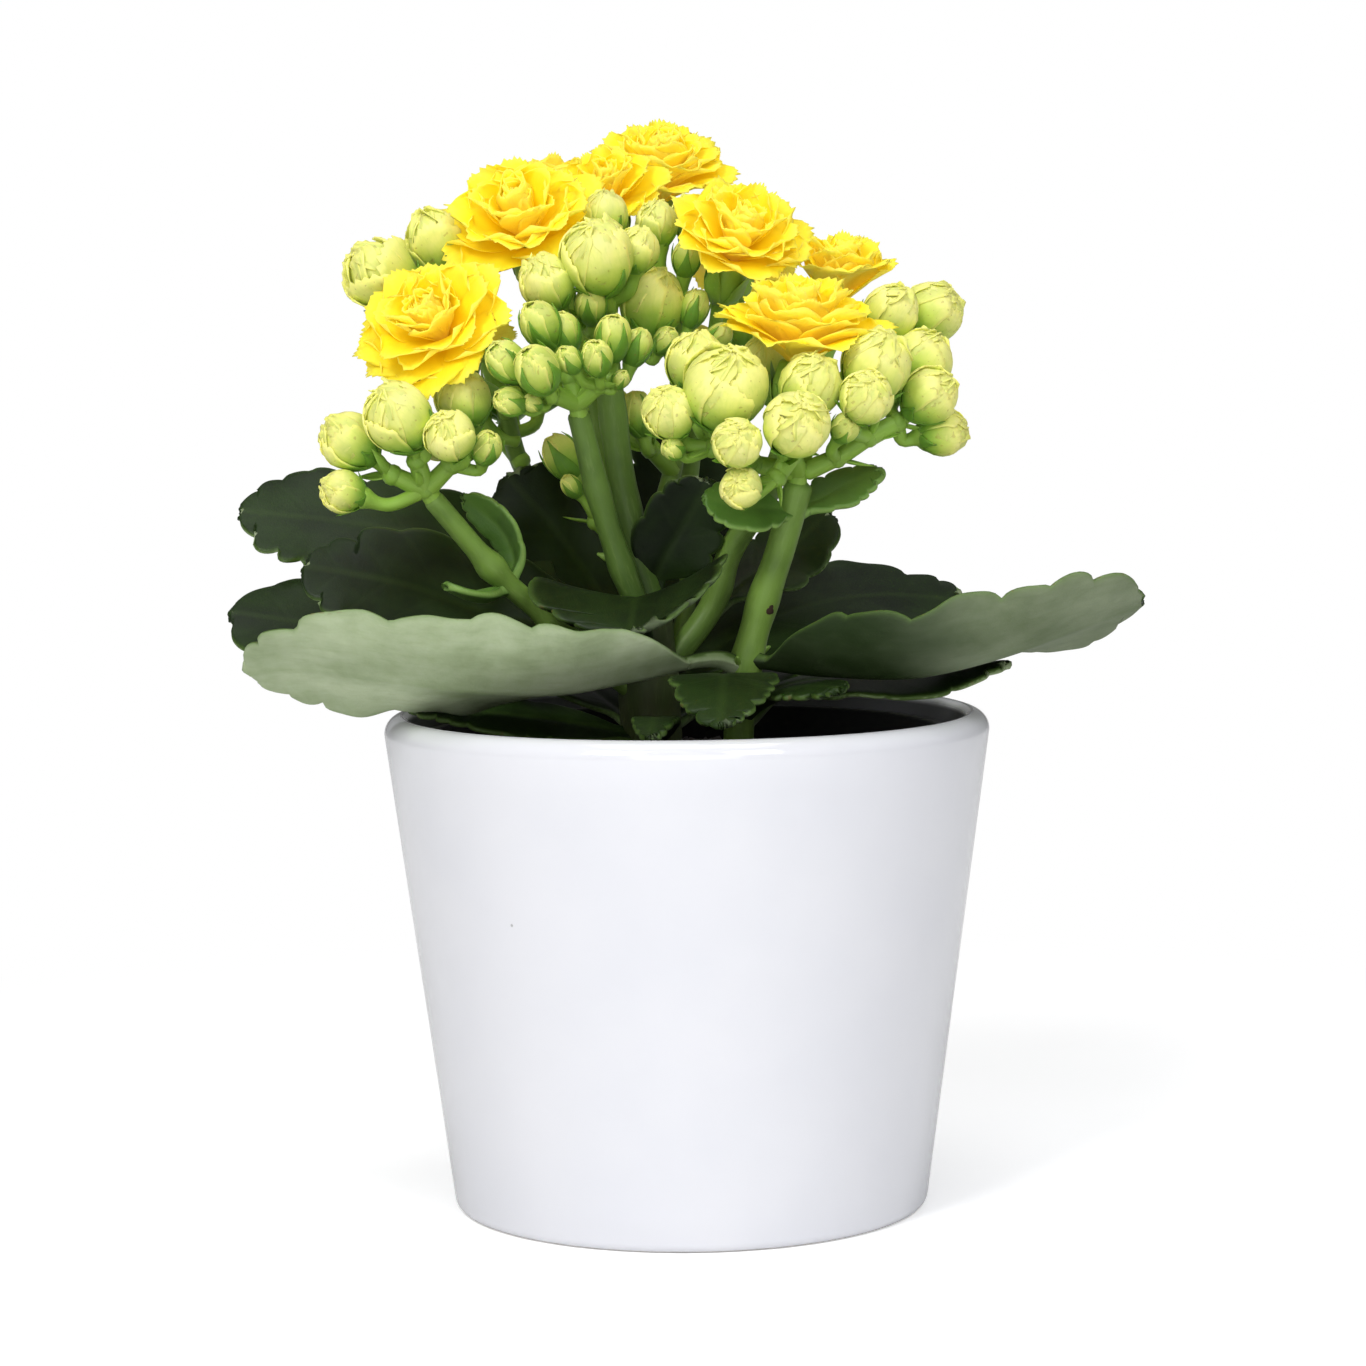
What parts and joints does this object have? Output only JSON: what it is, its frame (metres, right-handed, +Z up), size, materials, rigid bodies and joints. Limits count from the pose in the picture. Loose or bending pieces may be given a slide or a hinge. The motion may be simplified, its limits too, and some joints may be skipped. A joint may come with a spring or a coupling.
{
  "type": "potted kalanchoe",
  "caption": "Double-flowered yellow kalanchoe with fleshy scalloped leaves and bud clusters, in a black growing pot inside a tapered white glazed cover pot.",
  "frame": {"origin": "centre of the cover pot's flat bottom", "axes": "+Z up along the pot axis, -Y towards the pictured front, +X to its right"},
  "size_m": [0.1186, 0.0794, 0.142],
  "materials": {
    "pot_glaze": "gloss",
    "pot_plastic": "satin",
    "peat": "matte",
    "old_stem": "matte",
    "green_stem": "satin",
    "leaf": "satin",
    "young_leaf": "satin",
    "bud": "satin",
    "petal": "satin"
  },
  "bodies": {
    "root": {"cover_pot": "pot_glaze", "nursery_pot": "pot_plastic", "growing_medium": "peat", "crown_stem": "old_stem", "bract_left_large": "young_leaf", "bract_left_small": "young_leaf", "bract_right_inner": "young_leaf", "bract_right_outer": "young_leaf", "buds_back_left": "bud", "buds_back_low": "bud", "buds_back_right": "bud", "buds_centre_front": "bud", "buds_inner": "bud", "buds_left_back": "bud", "buds_left_front": "bud", "buds_right_back": "bud", "buds_right_far": "bud", "buds_right_front": "bud", "buds_right_middle": "bud", "buds_top_left": "bud", "buds_top_middle": "bud", "buds_top_right": "bud", "flower_back_left": "petal", "flower_back_right": "petal", "flower_back_top": "petal", "flower_left_front": "petal", "flower_left_top": "petal", "flower_right_far": "petal", "flower_right_front": "petal", "flower_right_top": "petal", "flower_top_back": "petal", "flower_top_middle": "petal", "leaf_back_centre": "leaf", "leaf_back_left_low": "leaf", "leaf_back_left_upright": "leaf", "leaf_back_right": "leaf", "leaf_centre_front": "leaf", "leaf_centre_upright": "leaf", "leaf_front_right_small": "leaf", "leaf_front_small": "leaf", "leaf_left_back": "leaf", "leaf_left_front": "leaf", "leaf_left_middle": "leaf", "leaf_left_upper": "leaf", "leaf_right_back": "leaf", "leaf_right_back_upper": "leaf", "leaf_right_front": "leaf", "leaf_right_low": "leaf", "leaf_rim_front": "leaf", "leaf_rim_left": "leaf", "stem_back_left": "green_stem", "stem_back_middle": "green_stem", "stem_back_right": "green_stem", "stem_centre_back": "green_stem", "stem_centre_front": "green_stem", "stem_left_front": "green_stem", "stem_right_back": "green_stem", "stem_right_front": "green_stem", "stem_thin_middle": "green_stem"}
  },
  "joints": []
}
